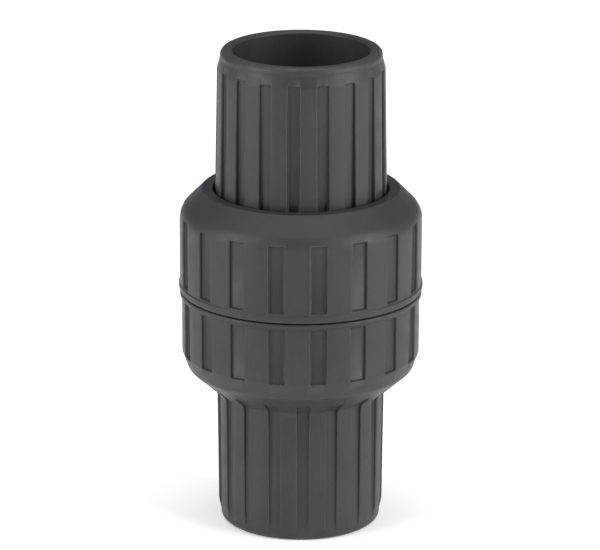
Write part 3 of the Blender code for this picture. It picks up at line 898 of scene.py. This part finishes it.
def face_ring(material):
    """An oval section carried round the axis."""
    around = np.arange(O_RING_SIDES) * math.tau / O_RING_SIDES
    across = reach("union_o_ring") - FACE_RING_R
    up = (RING_TOP - RING_FOOT) / 2
    outline = np.stack([
        FACE_RING_R + across * np.cos(around), (RING_TOP + RING_FOOT) / 2 + up * np.sin(around),
    ], axis=-1)
    obj = turned("face_o_ring", outline, RING_COLUMNS)
    finish_piece(obj, "union_end", ["union_o_ring"], material)


def spoked_cage(material):
    """A ring and a hub with the spring's seat, joined by spokes that widen at both ends."""
    low, high = NECK_TOP - CAGE_HEIGHT, NECK_TOP
    cage = turned("spoked_cage", rounded([
        (CAGE_INNER_R, low, MILD), (CAGE_R, low, EASED),
        (CAGE_R, high, CRISP), (CAGE_INNER_R, high, SOFT),
    ]), WIDE_COLUMNS)
    seat = NECK_TOP - SPRING_SEAT_DROP
    hub_bore = BUSH_R + GAP
    hub = turned("cage_hub", rounded([
        (hub_bore, HUB_FOOT, CRISP), (HUB_R, HUB_FOOT, EASED), (HUB_R, seat, CRISP),
        (SPRING_SEAT_R, seat, CRISP), (SPRING_SEAT_R, seat + SPRING_SEAT_THICKNESS, SOFT),
        (HUB_R, seat + SPRING_SEAT_THICKNESS, MILD), (HUB_R, HUB_TOP, PLUMP),
        (hub_bore, HUB_TOP, CRISP),
    ]), SMALL_COLUMNS)
    spokes = [
        radial_bar(
            f"cage_spoke_{number + 1}", (number + 0.5) * math.tau / SPOKES, HUB_R - SPOKE_SINK,
            CAGE_INNER_R + SPOKE_RING_SINK, SPOKE_WIDTH, low + GAP, high - GAP, SOFT, SPOKE_FLARE,
        )
        for number in range(SPOKES)
    ]
    joined(cage, [hub, *spokes])
    finish_piece(cage, "valve_body", ["guide_cage"], material)


def stem_bush(material):
    """A sleeve with a flange at its foot, as an outline carried round the axis."""
    obj = turned("stem_bush", rounded([
        (BUSH_BORE_R, BUSH_FOOT, CRISP), (HUB_R, BUSH_FOOT, EASED),
        (HUB_R, BUSH_FOOT + BUSH_FLANGE, FINE), (BUSH_R, BUSH_FOOT + BUSH_FLANGE, SHARP),
        (BUSH_R, BUSH_TOP, FINE), (BUSH_BORE_R, BUSH_TOP, CRISP),
    ]), SMALL_COLUMNS)
    finish_piece(obj, "valve_body", ["guide_bush"], material)


def shutter(material):
    """The poppet: a disc with a sloping shoulder, a boss and a stem, and a screw hole below."""
    head_top = HEAD_FOOT + HEAD_HEIGHT
    boss_top = BUSH_FOOT - LIFT - GAP
    hole_top = HEAD_FOOT + SCREW_HOLE_DEPTH
    obj = turned("shutter", rounded([
        (0, hole_top, 0), (SCREW_BORE_R, hole_top, EASED), (SCREW_BORE_R, HEAD_FOOT, CRISP),
        (HEAD_R - HEAD_EASE, HEAD_FOOT, CRISP), (HEAD_R, HEAD_FOOT + HEAD_EASE, EASED),
        (HEAD_R, head_top - HEAD_HEIGHT / 2, ROUND),
        (HEAD_R - HEAD_HEIGHT, head_top, HEAD_FILLET),
        (BOSS_R, head_top, ROUND), (BOSS_R, boss_top, SOFT), (STEM_R, boss_top, MILD),
        (STEM_R, STEM_TOP - HEAD_EASE, MILD), (STEM_R - HEAD_EASE, STEM_TOP, MILD),
        (0, STEM_TOP, 0),
    ], closed=False), MIDDLE_COLUMNS)
    finish_piece(obj, "poppet", ["poppet"], material)


def seat_seal(material):
    """A flat ring with rounded edges, as an outline carried round the axis."""
    obj = turned("seat_seal", rounded([
        (SEAL_BORE_R, SEAL_FOOT, CRISP), (SEAL_R, SEAL_FOOT, MILD),
        (SEAL_R, SEAL_TOP, MILD), (SEAL_BORE_R, SEAL_TOP, CRISP),
    ]), WIDE_COLUMNS)
    finish_piece(obj, "poppet", ["poppet_seal"], material)


def winged_retainer(material):
    """A stepped disc with a screw hole, and wings that guide it in the waterway."""
    foot = SEAL_FOOT - GAP - FLANGE_THICKNESS
    top = SEAL_FOOT - GAP
    disc = turned("winged_retainer", rounded([
        (SCREW_BORE_R, foot, CRISP), (FLANGE_R - FLANGE_THICKNESS / 2, foot, EASED),
        (FLANGE_R, foot + FLANGE_THICKNESS / 2, EASED), (FLANGE_R, top, CRISP),
        (SEAL_BORE_R - GAP, top, CRISP), (SEAL_BORE_R - GAP, COLLAR_TOP, CRISP),
        (SCREW_BORE_R, COLLAR_TOP, CRISP),
    ]), MIDDLE_COLUMNS)
    wings = [
        radial_bar(
            f"wing_{number + 1}", number * math.tau / WINGS, WING_INNER_R, WING_R - WING_INSET,
            WING_WIDTH, WING_FOOT, foot + FLANGE_THICKNESS / 2, PLUMP,
        )
        for number in range(WINGS)
    ]
    joined(disc, wings)
    finish_piece(disc, "poppet", ["seal_retainer"], material)


def socket_screw(material):
    """A socket-head screw. In its recess the radius at each turn is a hexagon's, its corner's
    radius times cos 30 over the cosine of the turn from the middle of the nearest side."""
    head_top = WASHER_FOOT - GAP
    outline = rounded([
        (0, SCREW_FOOT + HEX_DEPTH, 0), (HEX_R * HEX_DRAFT, SCREW_FOOT + HEX_DEPTH, SHARP),
        (HEX_R, SCREW_FOOT, SHARP), (SCREW_HEAD_R - SCREW_EASE, SCREW_FOOT, CRISP),
        (SCREW_HEAD_R, SCREW_FOOT + SCREW_EASE, CRISP), (SCREW_HEAD_R, head_top, FINE),
        (SCREW_R, head_top, CRISP), (SCREW_R, SCREW_TIP, EASED), (0, SCREW_TIP, 0),
    ], closed=False)
    turns, _ = even_turns(MIDDLE_COLUMNS)
    sixth = math.tau / 6
    flat = 1 - math.cos(sixth / 2) / np.cos((turns + sixth / 4) % sixth - sixth / 2)

    def dent(radius, height):
        low = height < SCREW_FOOT + HEX_DEPTH + HEX_SLACK
        in_recess = (radius < HEX_R + HEX_SLACK_R) & low
        return np.where(in_recess, radius, 0)

    obj = turned("socket_screw", outline, (turns, flat), dent)
    finish_piece(obj, "poppet", ["retainer_screw"], material)


def plain_washer(material):
    """A thin flat ring, as an outline carried round the axis."""
    obj = turned("plain_washer", rounded([
        (SCREW_BORE_R, WASHER_FOOT, SHARP), (WASHER_R, WASHER_FOOT, FINE),
        (WASHER_R, WASHER_TOP, FINE), (SCREW_BORE_R, WASHER_TOP, SHARP),
    ]), SMALL_COLUMNS)
    finish_piece(obj, "poppet", ["screw_washer"], material)


def closing_spring(material):
    """A round wire on a helix with one closed turn at each end, ground flat."""
    around = np.arange(WIRE_SIDES) * math.tau / WIRE_SIDES
    wire = np.stack([SPRING_R - WIRE_R + WIRE_R * np.cos(around), WIRE_R * np.sin(around)], -1)
    middle = SPRING_TOP - SPRING_FOOT - 2 * WIRE_R
    closed_rise = CLOSED_PITCH * 2 * WIRE_R

    def rise(made):
        stops = [0, 1, 1 + ACTIVE_TURNS, 2 + ACTIVE_TURNS]
        reached = [0, closed_rise, middle - closed_rise, middle]
        return SPRING_FOOT + WIRE_R + np.interp(made, stops, reached)

    obj = coiled(
        "closing_spring", wire, ACTIVE_TURNS + 2, rise, SPRING_STEPS,
        limits=(SPRING_FOOT + GROUND_FLAT, SPRING_TOP - GROUND_FLAT),
    )
    finish_piece(obj, "valve_body", ["spring"], material)
    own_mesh(obj)


# Stage


def floor():
    """A square plane, pale all over, under the valve."""
    mesh = bpy.data.meshes.new("floor")
    side = 6
    mesh.from_pydata(
        [(-side, -side, 0), (side, -side, 0), (side, side, 0), (-side, side, 0)], [],
        [(0, 1, 2, 3)],
    )
    obj = bpy.data.objects.new("floor", mesh)
    bpy.context.scene.collection.objects.link(obj)
    made, tree, shader, where = new_material("pale_floor")
    shade = blended(tree, noise(tree, where, 2, 3), (0.90, 0.90, 0.90), (0.93, 0.93, 0.93))
    tree.links.new(shade, shader.inputs["Base Color"])
    shader.inputs["Roughness"].default_value = 0.8
    shader.inputs["Emission Color"].default_value = (1, 1, 1, 1)
    shader.inputs["Emission Strength"].default_value = 0.3
    mesh.materials.append(made)


def softbox(name, place, aim, size, watts, colour=(1, 1, 1)):
    """A rectangular lamp that faces the aim."""
    lamp = bpy.data.lights.new(name, "AREA")
    lamp.shape = "RECTANGLE"
    lamp.size, lamp.size_y = size
    lamp.energy = watts
    lamp.color = colour
    obj = bpy.data.objects.new(name, lamp)
    bpy.context.scene.collection.objects.link(obj)
    obj.location = place
    obj.rotation_euler = (Vector(aim) - Vector(place)).to_track_quat("-Z", "Y").to_euler()


def lights():
    """A cool, dim surround, a warm lamp on each side and a cool one above."""
    world = bpy.data.worlds.new("studio")
    world.use_nodes = True
    world.node_tree.nodes["Background"].inputs["Color"].default_value = (0.86, 0.97, 1.12, 1)
    world.node_tree.nodes["Background"].inputs["Strength"].default_value = 0.20
    bpy.context.scene.world = world
    middle = (0, 0, (cad_box[0][2] + cad_box[1][2]) / 2)
    warm, cool = (1, 0.915, 0.88), (0.93, 0.98, 1)
    softbox("left_softbox", (-1.7, -0.80, 0.61), middle, (1.1, 2.2), 38.0, warm)
    softbox("right_softbox", (1.7, -0.82, 0.61), middle, (1.1, 2.2), 49.0, warm)
    softbox("top_softbox", (0, 0.14, 2.6), (0, 0.10, 0), (2.6, 2.6), 44.0, cool)


def camera():
    """A long lens, tilted down on the valve from the front."""
    data = bpy.data.cameras.new("camera")
    data.lens = 252
    data.sensor_width = 36
    obj = bpy.data.objects.new("camera", data)
    bpy.context.scene.collection.objects.link(obj)
    tilt, roll = math.radians(17.6), math.radians(0.15)
    distance, aim_z = 1.551, 0.0938
    obj.location = (-0.0003, -distance * math.cos(tilt), aim_z + distance * math.sin(tilt))
    turn = Matrix.Rotation(math.pi / 2 - tilt, 3, "X") @ Matrix.Rotation(roll, 3, "Z")
    obj.rotation_euler = turn.to_euler()
    bpy.context.scene.camera = obj


def main():
    # the third colour of each PVC is for pale specks and for outer edges, where it is partly wear
    # and partly a painted highlight
    pvc = moulded_pvc("dark_grey_pvc", (0.036, 0.035, 0.035), (0.031, 0.031, 0.032),
                      (0.085, 0.083, 0.081), 0.45)
    inner = moulded_pvc("inner_grey_pvc", (0.050, 0.050, 0.053), (0.043, 0.043, 0.046),
                        (0.10, 0.10, 0.10), 0.45)
    rubber = epdm("black_epdm")
    wax_white = ptfe("white_ptfe")
    steel = stainless("stainless_steel")
    camera()
    ribbed_body(pvc)
    neck_thread(pvc)
    ribbed_nut(pvc)
    nut_thread(pvc)
    ribbed_end(pvc)
    face_ring(rubber)
    spoked_cage(inner)
    stem_bush(wax_white)
    shutter(inner)
    seat_seal(rubber)
    winged_retainer(inner)
    socket_screw(steel)
    plain_washer(steel)
    closing_spring(steel)
    floor()
    lights()
    bpy.context.scene.view_settings.view_transform = "Standard"


main()
